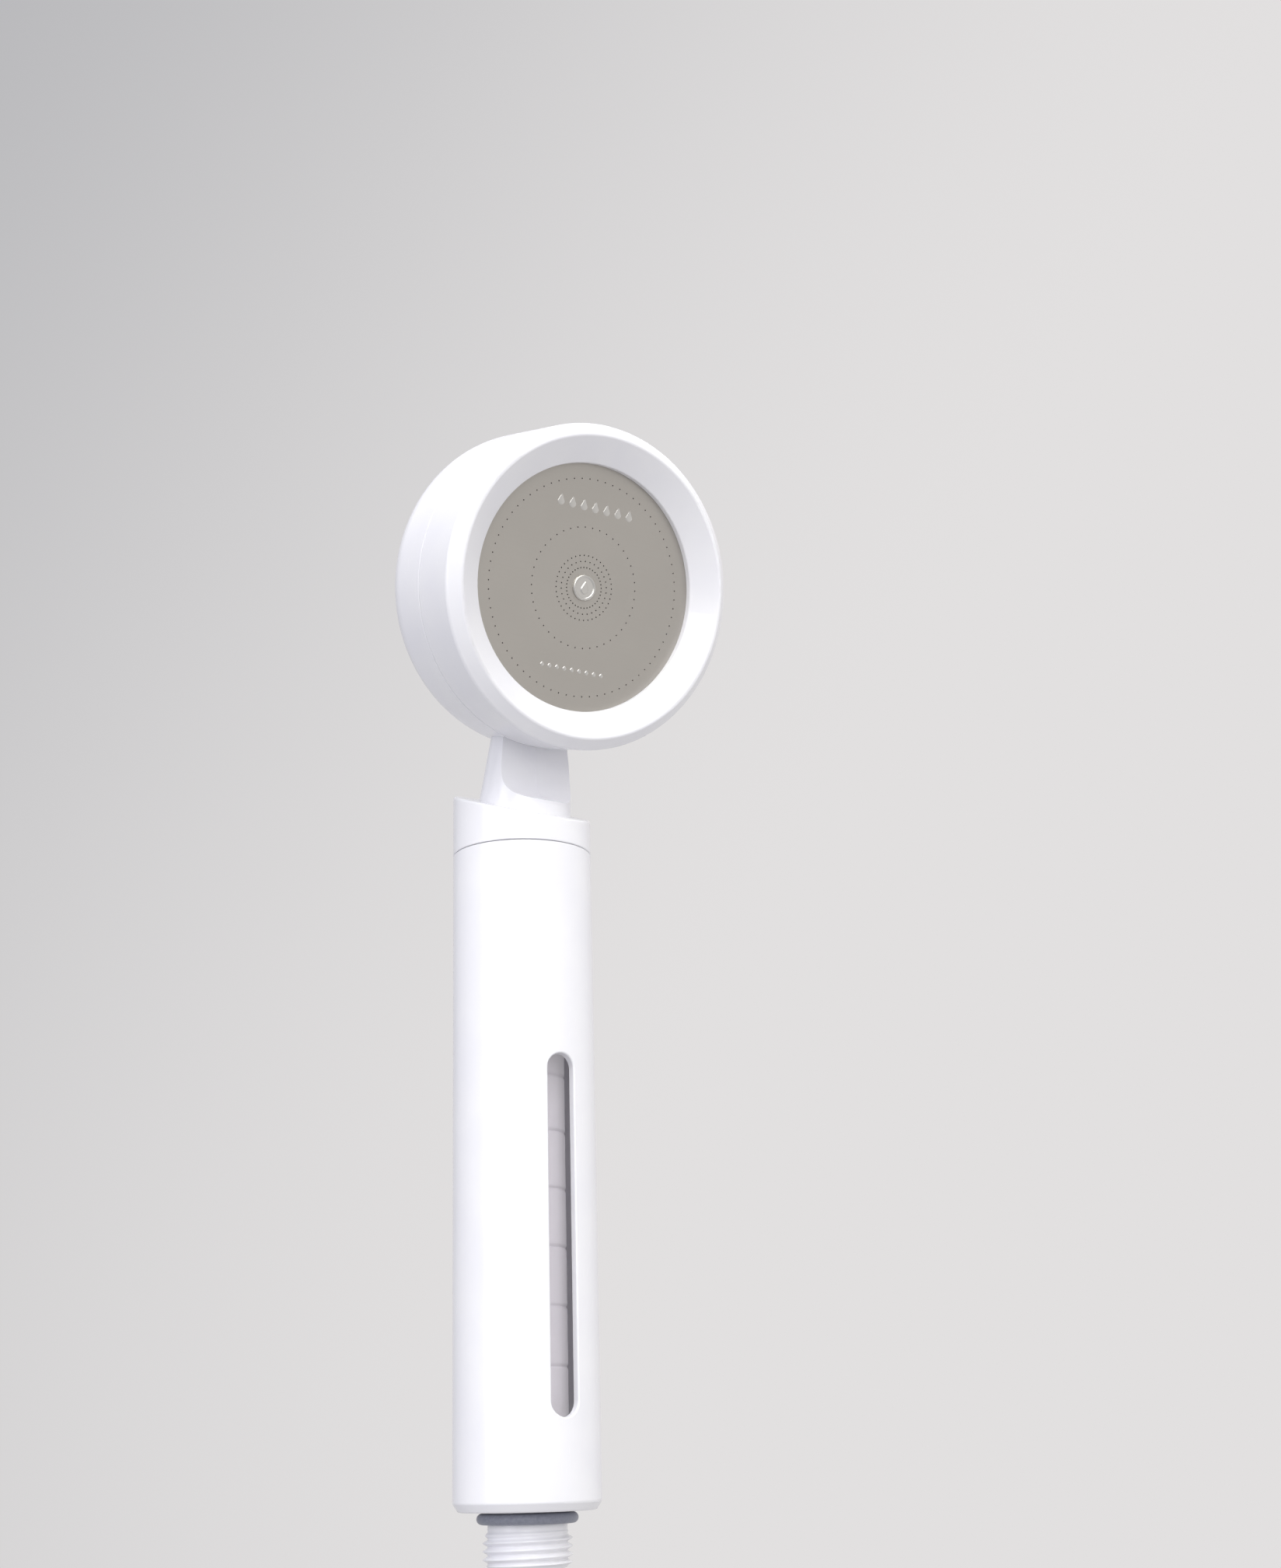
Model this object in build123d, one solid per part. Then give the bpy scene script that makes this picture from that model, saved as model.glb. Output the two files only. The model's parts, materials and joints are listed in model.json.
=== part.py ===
from build123d import *
import os
from math import cos, radians, sin

# Handheld shower head with a filter cartridge in its handle. Millimetres.
# +Z runs up the handle, the spray face looks along -Y and a little down,
# and the origin is the centre of the hose thread's open end.

# hose thread, G 1/2 parallel pipe thread
G_HALF_MAJOR_R = 10.4775
G_HALF_MINOR_R = 9.3155
G_HALF_PITCH = 1.8143
HOSE_THREAD_START = 0.4
HOSE_THREAD_CRESTS = 4

# handle
SLEEVE_R = 17.5
SLEEVE_BORE_R = 15.5
SLEEVE_BOTTOM = 12.5
BOTTOM_CHAMFER_R = 1.3
BOTTOM_CHAMFER_H = 2.0
SEAM_Z = 170.5
SEAM_GAP = 0.2
END_WALL_TOP = 26.0
SOCKET_R = 11.38
SOCKET_TOP = 25.1
SOCKET_LIP_R = 9.5

# window slot in the sleeve
SLOT_W = 7.3
SLOT_BOTTOM = 33.1
SLOT_TOP = 117.5
SLOT_EDGE = 0.35

# pressure tube inside the sleeve
TUBE_R = 15.4
TUBE_BORE_R = 13.2
TUBE_TOP = SEAM_Z - 14.5
TUBE_GASKET_H = 1.2

# filter cartridge
MEDIA_R = 10.0
MEDIA_RING_PITCH = 13.8
CORE_R = 5.2
CORE_BORE_R = 3.8
CAP_R = 10.7
CARTRIDGE_FOOT_Z = 26.15
MEDIA_BOTTOM = 31.0
MEDIA_TOP = SEAM_Z - 22.5
NIPPLE_R = 5.6
NIPPLE_TOP = SEAM_Z - 10.5

# screwed plugs: a crest runs in a smooth bore with this radial clearance
THREAD_CLEARANCE = 0.08
PLUG_THREAD_PITCH = 2.0
HEAD_THREAD_PITCH = 3.0
RING_THREAD_PITCH = 2.0

# head
HEAD_TILT = 17.2
HEAD_CENTRE_Y = -31.0
HEAD_CENTRE_Z = 233.6
HEAD_R = 41.0
RIM_R = 41.0
RIM_FRONT = 3.2
CREST_R = 38.0
CREST_FRONT = 6.2
LIP_R = 31.3
LIP_FRONT = 1.5
HEAD_SEAM = -11.2
HEAD_BACK = -32.0
BACK_ROUND = 10.5
HOUSING_WALL = 2.4
SPIGOT_R = 38.0

# spray plate
PLATE_R = 33.0
PLATE_T = 0.8
HOLE_R = 0.17
HOLE_RINGS = ((27.5, 75), (15.3, 44), (8.2, 40), (6.67, 30), (5.13, 36))
BADGE_R = 3.35

# collar and neck
COLLAR_TOP_Z = 183.5
COLLAR_SLOPE = 0.39
COLLAR_BORE_R = 15.0
NECK_RISE_Z = 181.5
NECK_BASE = 24.0
NECK_BASE_Y = -1.0
NECK_TOP_W = 18.8
NECK_TOP_D = 18.9
NECK_TOP_Y = -4.55
NECK_CORNER = 7.0
SCOOP_Y = -7.0
SCOOP_LOW_Z = 182.0
SCOOP_BEND_Z = 190.5
DUCT_R = 4.2
DUCT_Y = -0.6

tilt = radians(HEAD_TILT)
face_out = (0, -cos(tilt), -sin(tilt))
HEAD = Plane(origin=(0, HEAD_CENTRE_Y, HEAD_CENTRE_Z), x_dir=(1, 0, 0), z_dir=face_out)
parts = {}


def turned(points, rounds=()):
    """Revolve a closed outline of (radius, height) points about Z; rounds = (point, radius)."""
    outline = make_face(Polyline(*points, close=True))
    for (r, z), radius in rounds:
        corner = outline.vertices().sort_by_distance((r, z, 0))[0]
        outline = fillet(corner, radius)
    return revolve(Plane.XZ * outline, Axis.Z)


def ridge_outline(root, crest, start, pitch, count):
    """Outer outline of a run of thread ridges, bottom to top, as (radius, height) points."""
    outline = []
    for k in range(count):
        z = start + k * pitch
        outline += [(crest, z), (crest, z + 0.25 * pitch)]
        outline += [(root, z + 0.55 * pitch), (root, z + 0.7 * pitch)]
    return outline


def o_ring(inner, section, z):
    """A round-section ring about Z with its hole radius, section radius and height."""
    return Pos(0, 0, z) * Torus(inner + section, section)


def around(count, radius, shape):
    """Copies of a shape spread evenly round Z at a radius."""
    return [loc * shape for loc in PolarLocations(radius, count)]


# ---------------------------------------------------------------- handle


def handle_sleeve():
    """White moulded outer tube with a closed end wall and one long window slot."""
    low = SLEEVE_BOTTOM
    top = SEAM_Z - SEAM_GAP / 2
    body = turned(
        [
            (SOCKET_R, low),
            (SLEEVE_R - BOTTOM_CHAMFER_R, low),
            (SLEEVE_R, low + BOTTOM_CHAMFER_H),
            (SLEEVE_R, top),
            (SLEEVE_BORE_R, top),
            (SLEEVE_BORE_R, END_WALL_TOP),
            (SOCKET_LIP_R, END_WALL_TOP),
            (SOCKET_LIP_R, SOCKET_TOP),
            (SOCKET_R, SOCKET_TOP),
        ],
        [
            ((SLEEVE_R - BOTTOM_CHAMFER_R, low), 0.9),
            ((SLEEVE_R, low + BOTTOM_CHAMFER_H), 0.9),
            ((SLEEVE_R, top), 0.2),
        ],
    )
    length = SLOT_TOP - SLOT_BOTTOM
    front = Plane(origin=(0, 0, (SLOT_TOP + SLOT_BOTTOM) / 2), x_dir=(0, 0, 1), z_dir=(0, -1, 0))
    slot = extrude(front * SlotOverall(length, SLOT_W), 2 * SLEEVE_R)
    body = body - slot
    return fillet(body.edges().filter_by(is_slot_rim), SLOT_EDGE)


def is_slot_rim(edge):
    """True for an edge of the slot's mouth on the sleeve's outer wall."""
    middle = edge @ 0.5
    on_wall = abs((middle.X**2 + middle.Y**2) ** 0.5 - SLEEVE_R) < 0.01
    return on_wall and abs(middle.X) < SLOT_W and SLOT_BOTTOM - 1 < middle.Z < SLOT_TOP + 1


def clear_tube():
    """Transparent pressure tube that the window shows."""
    low = END_WALL_TOP + TUBE_GASKET_H
    return turned([(TUBE_BORE_R, low), (TUBE_R, low), (TUBE_R, TUBE_TOP), (TUBE_BORE_R, TUBE_TOP)])


def tube_gasket():
    """Flat silicone ring between the end wall and the clear tube."""
    low = END_WALL_TOP
    top = low + TUBE_GASKET_H
    return turned([(TUBE_BORE_R, low), (TUBE_R, low), (TUBE_R, top), (TUBE_BORE_R, top)])


parts["handle_sleeve"] = handle_sleeve()
parts["clear_tube"] = clear_tube()
parts["tube_gasket"] = tube_gasket()

# -------------------------------------------------------- hose connector

CONNECTOR_TOP = 25.0
CONNECTOR_NECK_R = 9.35
PLUG_THREAD_START = 12.8
PLUG_THREAD_CRESTS = 4
PLUG_THREAD_DEPTH = 1.3
O_RING_SECTION = 1.25
O_RING_Z = 10.95
PLUG_SEAL_SECTION = 0.8
PLUG_SEAL_Z = 23.0
INLET_BORE_R = 7.2
OUTLET_BORE_R = 6.0
INLET_LEDGE = 6.5


def hose_connector():
    """White plug: hose thread below, a neck for the ring, a plug thread and a seal groove above."""
    thread = ridge_outline(
        G_HALF_MINOR_R, G_HALF_MAJOR_R, HOSE_THREAD_START, G_HALF_PITCH, HOSE_THREAD_CRESTS
    )
    plug_crest = SOCKET_R - THREAD_CLEARANCE
    plug_root = plug_crest - PLUG_THREAD_DEPTH
    plug = ridge_outline(
        plug_root, plug_crest, PLUG_THREAD_START, PLUG_THREAD_PITCH, PLUG_THREAD_CRESTS
    )
    groove = SOCKET_R - 2 * PLUG_SEAL_SECTION - 0.06
    half = PLUG_SEAL_SECTION + 0.1
    outline = [(G_HALF_MINOR_R - 0.3, 0), (G_HALF_MINOR_R, HOSE_THREAD_START / 2)] + thread
    outline += [(CONNECTOR_NECK_R, 8.6), (CONNECTOR_NECK_R, PLUG_THREAD_START - 0.4)] + plug
    outline += [(plug_crest, PLUG_SEAL_Z - half - 0.6), (plug_crest, PLUG_SEAL_Z - half)]
    outline += [(groove, PLUG_SEAL_Z - half), (groove, PLUG_SEAL_Z + half)]
    outline += [(plug_crest, PLUG_SEAL_Z + half), (plug_crest, CONNECTOR_TOP - 0.5)]
    outline += [(plug_crest - 0.5, CONNECTOR_TOP), (OUTLET_BORE_R, CONNECTOR_TOP)]
    outline += [(OUTLET_BORE_R, INLET_LEDGE), (INLET_BORE_R, INLET_LEDGE), (INLET_BORE_R, 0)]
    return turned(outline)


def inlet_screen():
    """Round stainless strainer in the connector's mouth."""
    disc = Pos(0, 0, 3.2) * Cylinder(INLET_BORE_R - 0.05, 0.6, align=(Align.CENTER, Align.CENTER, Align.MIN))
    hole = Pos(0, 0, 3.0) * Cylinder(0.5, 1.0, align=(Align.CENTER, Align.CENTER, Align.MIN))
    holes = [hole]
    for ring in (1, 2, 3, 4):
        holes += around(6 * ring, 1.5 * ring, hole)
    return disc - holes


def flow_regulator():
    """Flow limiter disc behind the screen, with a ring of metering holes and a centre knob."""
    base = Pos(0, 0, 3.8)
    disc = base * Cylinder(INLET_BORE_R - 0.05, 2.7, align=(Align.CENTER, Align.CENTER, Align.MIN))
    hole = base * Cylinder(0.9, 4.0, align=(Align.CENTER, Align.CENTER, Align.MIN))
    knob = base * Cylinder(1.6, 3.9, align=(Align.CENTER, Align.CENTER, Align.MIN))
    return disc + knob - around(8, 4.4, hole)


parts["hose_connector"] = hose_connector()
parts["inlet_screen"] = inlet_screen()
parts["flow_regulator"] = flow_regulator()
parts["hose_o_ring"] = o_ring(CONNECTOR_NECK_R + 0.05, O_RING_SECTION, O_RING_Z)
parts["plug_o_ring"] = o_ring(
    SOCKET_R - 0.03 - 2 * PLUG_SEAL_SECTION, PLUG_SEAL_SECTION, PLUG_SEAL_Z
)

# ------------------------------------------------------ filter cartridge

FOOT_COUNT = 3
CAP_T = 2.6
PEG_R = CORE_BORE_R - 0.05
PEG_H = 6.0
CORE_HOLE_R = 1.1
CORE_HOLE_ROWS = 12
SPIGOT_BORE_R = 6.6


def filter_bottom_cap():
    """Closed lower cap with three feet and a peg that centres the core."""
    low = MEDIA_BOTTOM - CAP_T
    cap = turned(
        [(0, low), (CAP_R, low), (CAP_R, MEDIA_BOTTOM), (PEG_R, MEDIA_BOTTOM)]
        + [(PEG_R, MEDIA_BOTTOM + PEG_H), (0, MEDIA_BOTTOM + PEG_H)],
        [((CAP_R, low), 0.6)],
    )
    height = low - CARTRIDGE_FOOT_Z
    foot = Pos(0, 0, CARTRIDGE_FOOT_Z + height / 2) * Box(1.6, 3.0, height + 0.2)
    return cap + around(FOOT_COUNT, CAP_R - 1.6, foot)


def filter_core():
    """Perforated tube that holds the media open from inside."""
    tube = turned(
        [(CORE_BORE_R, MEDIA_BOTTOM), (CORE_R, MEDIA_BOTTOM), (CORE_R, MEDIA_TOP), (CORE_BORE_R, MEDIA_TOP)]
    )
    step = (MEDIA_TOP - MEDIA_BOTTOM - 20) / (CORE_HOLE_ROWS - 1)
    drills = []
    for row in range(CORE_HOLE_ROWS):
        z = MEDIA_BOTTOM + 10 + row * step
        for turn in (0, 60, 120):
            across = Rot(0, 90, 0) * Cylinder(CORE_HOLE_R, 2 * CORE_R + 2)
            drills.append(Pos(0, 0, z) * Rot(0, 0, turn + 30 * (row % 2)) * across)
    return tube - drills


def filter_media():
    """Wound sediment media, a stack of equal rings pressed together."""
    inner = CORE_R + 0.1
    nick = 0.25
    outline = [(inner, MEDIA_BOTTOM), (MEDIA_R, MEDIA_BOTTOM)]
    z = MEDIA_BOTTOM + MEDIA_RING_PITCH
    while z < MEDIA_TOP - 2:
        outline += [(MEDIA_R, z - nick), (MEDIA_R - nick, z), (MEDIA_R, z + nick)]
        z += MEDIA_RING_PITCH
    outline += [(MEDIA_R, MEDIA_TOP), (inner, MEDIA_TOP)]
    return turned(outline)


def filter_top_cap():
    """Open upper cap whose nipple plugs into the head."""
    high = MEDIA_TOP + CAP_T
    return turned(
        [(CORE_BORE_R, MEDIA_TOP), (CAP_R, MEDIA_TOP), (CAP_R, high), (NIPPLE_R, high)]
        + [(NIPPLE_R, NIPPLE_TOP), (CORE_BORE_R, NIPPLE_TOP)],
        [((CAP_R, high), 0.6), ((NIPPLE_R, NIPPLE_TOP), 0.5)],
    )


parts["filter_bottom_cap"] = filter_bottom_cap()
parts["filter_core"] = filter_core()
parts["filter_media"] = filter_media()
parts["filter_top_cap"] = filter_top_cap()
parts["filter_top_seal"] = o_ring(NIPPLE_R + 0.03, (SPIGOT_BORE_R - NIPPLE_R) / 2 - 0.05, NIPPLE_TOP - 3)

# ------------------------------------------- threaded spigot, collar

SPIGOT_LOW = SEAM_Z - 19
NOSE_R = 12.9
NOSE_TOP = SEAM_Z - 13.5
HEAD_THREAD_START = SEAM_Z - 12.5
HEAD_THREAD_CRESTS = 4
SPIGOT_TOP = SEAM_Z + 4.0
NOSE_SEAL_Z = SEAM_Z - 16.2
NOSE_SEAL_SECTION = 0.95


def head_spigot():
    """Threaded plug on the head's foot: the thread holds the sleeve, the nose seals in the tube."""
    crest = SLEEVE_BORE_R - THREAD_CLEARANCE
    root = crest - 1.0
    groove = TUBE_BORE_R - 2 * NOSE_SEAL_SECTION - 0.1
    half = NOSE_SEAL_SECTION + 0.1
    outline = [(SPIGOT_BORE_R, SPIGOT_LOW), (NOSE_R - 0.5, SPIGOT_LOW), (NOSE_R, SPIGOT_LOW + 0.5)]
    outline += [(NOSE_R, NOSE_SEAL_Z - half), (groove, NOSE_SEAL_Z - half)]
    outline += [(groove, NOSE_SEAL_Z + half), (NOSE_R, NOSE_SEAL_Z + half)]
    outline += [(NOSE_R, NOSE_TOP), (root, NOSE_TOP + 0.4)]
    outline += ridge_outline(root, crest, HEAD_THREAD_START, HEAD_THREAD_PITCH, HEAD_THREAD_CRESTS)
    outline += [(COLLAR_BORE_R - 0.05, SEAM_Z), (COLLAR_BORE_R - 0.05, SPIGOT_TOP)]
    outline += [(SPIGOT_BORE_R, SPIGOT_TOP)]
    return turned(outline)


def neck_section(z, centre_y, width, depth, corner):
    """One rounded cross-section of the neck."""
    return Pos(0, centre_y, z) * RectangleRounded(width, depth, corner)


def neck_solid():
    """Neck that tapers from the round foot in the collar up into the shell, scooped at the front."""
    base = NECK_BASE
    foot_z = SPIGOT_TOP + 0.1
    round_corner = base / 2 - 0.05
    foot = extrude(
        neck_section(foot_z, NECK_BASE_Y, base, base, round_corner), NECK_RISE_Z - foot_z
    )
    rise = loft(
        [
            neck_section(NECK_RISE_Z, NECK_BASE_Y, base, base, round_corner),
            neck_section(NECK_RISE_Z + 19, NECK_TOP_Y, NECK_TOP_W, NECK_TOP_D, NECK_CORNER),
        ]
    )
    stub = loft(
        [
            neck_section(NECK_RISE_Z + 19, NECK_TOP_Y, NECK_TOP_W, NECK_TOP_D, NECK_CORNER),
            neck_section(NECK_RISE_Z + 30, NECK_TOP_Y - 3, NECK_TOP_W, NECK_TOP_D, NECK_CORNER),
        ]
    )
    return foot + rise + stub - scoop_solid()


def scoop_solid():
    """Space cut out of the neck's front: a flat wall that curves out to a soft shoulder below."""
    edge = (SCOOP_Y - 6.9, SCOOP_LOW_Z)
    bend = (SCOOP_Y, SCOOP_BEND_Z)
    high = NECK_RISE_Z + 35
    outline = make_face(
        TangentArc(bend, edge, tangent=(0, -1))
        + Line(edge, (-40, SCOOP_LOW_Z))
        + Line((-40, SCOOP_LOW_Z), (-40, high))
        + Line((-40, high), (SCOOP_Y, high))
        + Line((SCOOP_Y, high), bend)
    )
    return extrude(Plane.YZ * outline, 30, both=True)


def collar():
    """Collar on the sleeve's top, its upper face cut on a slant, lower at the front."""
    low = SEAM_Z + SEAM_GAP / 2
    shelf = SPIGOT_TOP + 0.05
    high = COLLAR_TOP_Z + 20
    body = turned(
        [(COLLAR_BORE_R, low), (SLEEVE_R, low), (SLEEVE_R, high), (0, high)]
        + [(0, shelf), (COLLAR_BORE_R, shelf)],
        [((SLEEVE_R, low), 0.2)],
    )
    up = Plane(origin=(0, 0, COLLAR_TOP_Z), z_dir=(0, -COLLAR_SLOPE, 1))
    body = body - extrude(up * Rectangle(80, 80), 60)
    body = fillet(body.edges().filter_by(is_slanted_rim), 0.7)
    return body - neck_solid()


def is_slanted_rim(edge):
    """True for the collar's outer upper edge."""
    middle = edge @ 0.25
    return abs((middle.X**2 + middle.Y**2) ** 0.5 - SLEEVE_R) < 0.01 and middle.Z > SEAM_Z + 5


parts["head_spigot"] = head_spigot()
parts["spigot_o_ring"] = o_ring(
    TUBE_BORE_R - 0.05 - 2 * NOSE_SEAL_SECTION, NOSE_SEAL_SECTION, NOSE_SEAL_Z
)
parts["collar"] = collar()

# ------------------------------------------------- rear housing and neck

CAVITY_R = 34.6
CHAMBER_BACK = HEAD_BACK + HOUSING_WALL
SPIGOT_FRONT = -3.4
LEDGE_R = 31.5
LEDGE_BACK = -9.0
DISTRIBUTOR_BACK = -5.0
SCREW_RADIUS = 25.0
SCREW_COUNT = 3
BOSS_R = 3.4
BOSS_HOLE_R = 1.3


def shell_solid():
    """Outer form of the rear shell in the head's own frame, with the ring's thread spigot."""
    crest = SPIGOT_R
    root = crest - 0.8
    ridges = ridge_outline(root, crest, HEAD_SEAM + 0.6, RING_THREAD_PITCH, 3)
    outline = [(0, HEAD_BACK), (HEAD_R, HEAD_BACK), (HEAD_R, HEAD_SEAM), (root, HEAD_SEAM)]
    outline += ridges + [(root, SPIGOT_FRONT), (0, SPIGOT_FRONT)]
    return turned(outline, [((HEAD_R, HEAD_BACK), BACK_ROUND), ((HEAD_R, HEAD_SEAM), 0.2)])


def chamber_solid():
    """Water chamber inside the shell, with the ledge that the distributor sits on."""
    inner_round = BACK_ROUND - HOUSING_WALL
    return turned(
        [(0, CHAMBER_BACK), (CAVITY_R, CHAMBER_BACK), (CAVITY_R, LEDGE_BACK - 2)]
        + [(LEDGE_R, LEDGE_BACK), (LEDGE_R, DISTRIBUTOR_BACK), (CAVITY_R, DISTRIBUTOR_BACK)]
        + [(CAVITY_R, 0), (0, 0)],
        [((CAVITY_R, CHAMBER_BACK), inner_round)],
    )


def water_duct():
    """Straight passage from the foot of the neck up into the chamber."""
    low = Align.MIN
    return Pos(0, DUCT_Y, SPIGOT_TOP) * Cylinder(DUCT_R, 42, align=(Align.CENTER, Align.CENTER, low))


def neck():
    """Hollow neck between the collar and the rear shell, welded flush to the shell."""
    ring_room = HEAD * Pos(0, 0, HEAD_SEAM + 30) * Cylinder(HEAD_R + 0.4, 60)
    return neck_solid() - HEAD * shell_solid() - ring_room - water_duct()


def screw_bosses():
    """Posts in the chamber that take the distributor's screws."""
    on_floor = (Align.CENTER, Align.CENTER, Align.MIN)
    height = DISTRIBUTOR_BACK - CHAMBER_BACK
    post = Pos(0, 0, CHAMBER_BACK - 0.5) * Cylinder(BOSS_R, height + 0.5, align=on_floor)
    pilot = Pos(0, 0, DISTRIBUTOR_BACK - 8) * Cylinder(BOSS_HOLE_R, 9, align=on_floor)
    return around(SCREW_COUNT, SCREW_RADIUS, post - pilot)


def rear_housing():
    """Deep round shell with a water chamber, its screw posts and the thread for the front ring."""
    shell = HEAD * (shell_solid() - chamber_solid()) - water_duct()
    return shell + [HEAD * post for post in screw_bosses()]


parts["neck"] = neck()
parts["rear_housing"] = rear_housing()

# ------------------------------------- front ring, plate and what is behind

RING_BORE_R = SPIGOT_R + THREAD_CLEARANCE
PLATE_SEAT_R = PLATE_R + 0.3
SEAL_SHELF = -1.6
RING_BACK = HEAD_SEAM + SEAM_GAP
PLATE_FRONT = -0.05
GASKET_T = 1.5
GASKET_BORE_R = 30.6
RING_SEAL_SECTION = 0.8
DISTRIBUTOR_R = 34.4
DISTRIBUTOR_FRONT = -2.45


def front_ring():
    """White screw ring: bevel outside, shallow funnel inside, lip over the plate's edge."""
    outline = [(RING_BORE_R, RING_BACK), (RIM_R, RING_BACK), (RIM_R, RIM_FRONT)]
    outline += [(CREST_R, CREST_FRONT), (LIP_R, LIP_FRONT), (LIP_R, 0)]
    outline += [(PLATE_SEAT_R, 0), (PLATE_SEAT_R, SEAL_SHELF), (RING_BORE_R, SEAL_SHELF)]
    rounds = [((RIM_R, RING_BACK), 0.2), ((RIM_R, RIM_FRONT), 1.2)]
    rounds += [((CREST_R, CREST_FRONT), 0.8), ((LIP_R, LIP_FRONT), 0.5)]
    return turned(outline, rounds)


def spray_plate():
    """Stainless plate with five rings of fine holes and a seat for the centre badge."""
    low = PLATE_FRONT - PLATE_T
    plate = turned([(1.25, low), (PLATE_R, low), (PLATE_R, PLATE_FRONT), (1.25, PLATE_FRONT)])
    drill = Pos(0, 0, low) * Cylinder(HOLE_R, 4 * PLATE_T)
    holes = []
    for radius, count in HOLE_RINGS:
        holes += around(count, radius, drill)
    return plate - holes


def plate_gasket():
    """Silicone ring behind the plate's edge."""
    high = PLATE_FRONT - PLATE_T
    low = high - GASKET_T
    return turned([(GASKET_BORE_R, low), (PLATE_R, low), (PLATE_R, high), (GASKET_BORE_R, high)])


def centre_badge():
    """Plain domed stud in the middle of the plate."""
    low = PLATE_FRONT - PLATE_T
    return turned(
        [(0, low), (1.2, low), (1.2, PLATE_FRONT), (BADGE_R, PLATE_FRONT)]
        + [(BADGE_R, PLATE_FRONT + 0.35), (0, PLATE_FRONT + 0.55)],
        [((BADGE_R, PLATE_FRONT + 0.35), 0.15)],
    )


def distributor():
    """Moulded disc that spreads the water evenly behind the plate."""
    disc = turned(
        [(0, DISTRIBUTOR_BACK + 0.05), (DISTRIBUTOR_R, DISTRIBUTOR_BACK + 0.05)]
        + [(DISTRIBUTOR_R, DISTRIBUTOR_FRONT), (30.6, DISTRIBUTOR_FRONT)]
        + [(30.6, DISTRIBUTOR_BACK + 1.6), (0, DISTRIBUTOR_BACK + 1.6)]
    )
    drill = Pos(0, 0, DISTRIBUTOR_BACK) * Cylinder(1.0, 8)
    holes = []
    for radius, count in ((8, 10), (13.5, 16), (19, 22)):
        holes += around(count, radius, drill)
    holes += around(SCREW_COUNT, SCREW_RADIUS, Pos(0, 0, DISTRIBUTOR_BACK) * Cylinder(1.6, 8))
    return disc - holes


def distributor_screws():
    """Three small screws that hold the distributor to the housing's bosses."""
    shank_low = DISTRIBUTOR_BACK - 7
    head_low = DISTRIBUTOR_BACK + 1.65
    screw = turned(
        [(0, shank_low), (1.2, shank_low), (1.2, head_low), (2.6, head_low)]
        + [(2.6, head_low + 0.9), (0, head_low + 0.9)],
        [((2.6, head_low + 0.9), 0.4)],
    )
    cross = Pos(0, 0, head_low + 0.9) * (Box(2.8, 0.5, 0.9) + Box(0.5, 2.8, 0.9))
    return Compound(children=around(SCREW_COUNT, SCREW_RADIUS, screw - cross))


parts["front_ring"] = HEAD * front_ring()
parts["spray_plate"] = HEAD * spray_plate()
parts["plate_gasket"] = HEAD * plate_gasket()
parts["centre_badge"] = HEAD * centre_badge()
parts["ring_o_ring"] = HEAD * o_ring(35.4, RING_SEAL_SECTION, (SEAL_SHELF + SPIGOT_FRONT) / 2)
parts["distributor"] = HEAD * distributor()
parts["distributor_screws"] = HEAD * distributor_screws()

# ---------------------------------------------------------------- export

os.makedirs("parts", exist_ok=True)
for name, shape in parts.items():
    shape.label = name
    export_step(shape, f"parts/{name}.step")
    print(name, round(shape.volume, 1))
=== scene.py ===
import json
from math import pi, radians

import bmesh
import bpy
import numpy as np
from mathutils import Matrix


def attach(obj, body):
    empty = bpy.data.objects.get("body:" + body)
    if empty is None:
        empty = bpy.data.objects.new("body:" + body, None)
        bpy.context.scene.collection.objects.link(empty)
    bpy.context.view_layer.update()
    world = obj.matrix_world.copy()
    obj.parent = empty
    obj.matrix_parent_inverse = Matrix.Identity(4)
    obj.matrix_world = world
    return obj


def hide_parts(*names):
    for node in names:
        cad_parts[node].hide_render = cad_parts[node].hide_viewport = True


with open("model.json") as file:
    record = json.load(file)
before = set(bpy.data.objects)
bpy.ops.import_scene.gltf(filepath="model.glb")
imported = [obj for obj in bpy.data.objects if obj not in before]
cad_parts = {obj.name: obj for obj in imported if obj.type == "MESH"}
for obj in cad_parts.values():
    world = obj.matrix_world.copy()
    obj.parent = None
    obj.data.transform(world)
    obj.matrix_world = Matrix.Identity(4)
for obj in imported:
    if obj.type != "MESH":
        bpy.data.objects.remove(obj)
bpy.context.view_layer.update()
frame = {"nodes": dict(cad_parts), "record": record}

MM = 0.001

# ---------------------------------------------------------------- camera
# A portrait view from the handle's left front, level with the hose thread
# and looking up at the spray face. No depth of field and no shift.

CAMERA_PLACE = (-276.1, -452.1, 25.1)
CAMERA_TURN = (107.255, 1.389, -34.299)
CAMERA_LENS = 49.35

lens = bpy.data.cameras.new("camera")
lens.lens = CAMERA_LENS
lens.sensor_width = 36.0
lens.clip_start = 0.01
lens.clip_end = 50.0
lens.dof.use_dof = False
camera = bpy.data.objects.new("camera", lens)
bpy.context.collection.objects.link(camera)
camera.location = [v * MM for v in CAMERA_PLACE]
camera.rotation_euler = [radians(v) for v in CAMERA_TURN]
bpy.context.scene.camera = camera
bpy.context.scene.view_settings.view_transform = "Standard"

# ---------------------------------------------------------------- studio
# A seamless pale paper roll that runs from the floor up into a round wall,
# with large soft boxes, so that the gloss plastic shows broad soft bands.

BACKDROP_R = 3.0
FLOOR_Z = -0.30
WALL_TOP = 6.0
COVE_R = 1.2
# The paper's glow carries painted shade: darker towards one side and upper corner.
BACKDROP_SHADED = "B4B4B7"
BACKDROP_PALE = "E2E0E0"
FADE_TURN = -24
FADE_FROM, FADE_TO = -0.95, 1.45


def linear(hex_colour):
    """sRGB hex to linear RGBA: each channel undone from its 2.4 power curve."""
    channels = [int(hex_colour[k : k + 2], 16) / 255 for k in (0, 2, 4)]
    lin = [c / 12.92 if c <= 0.04045 else ((c + 0.055) / 1.055) ** 2.4 for c in channels]
    return (*lin, 1.0)


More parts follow.
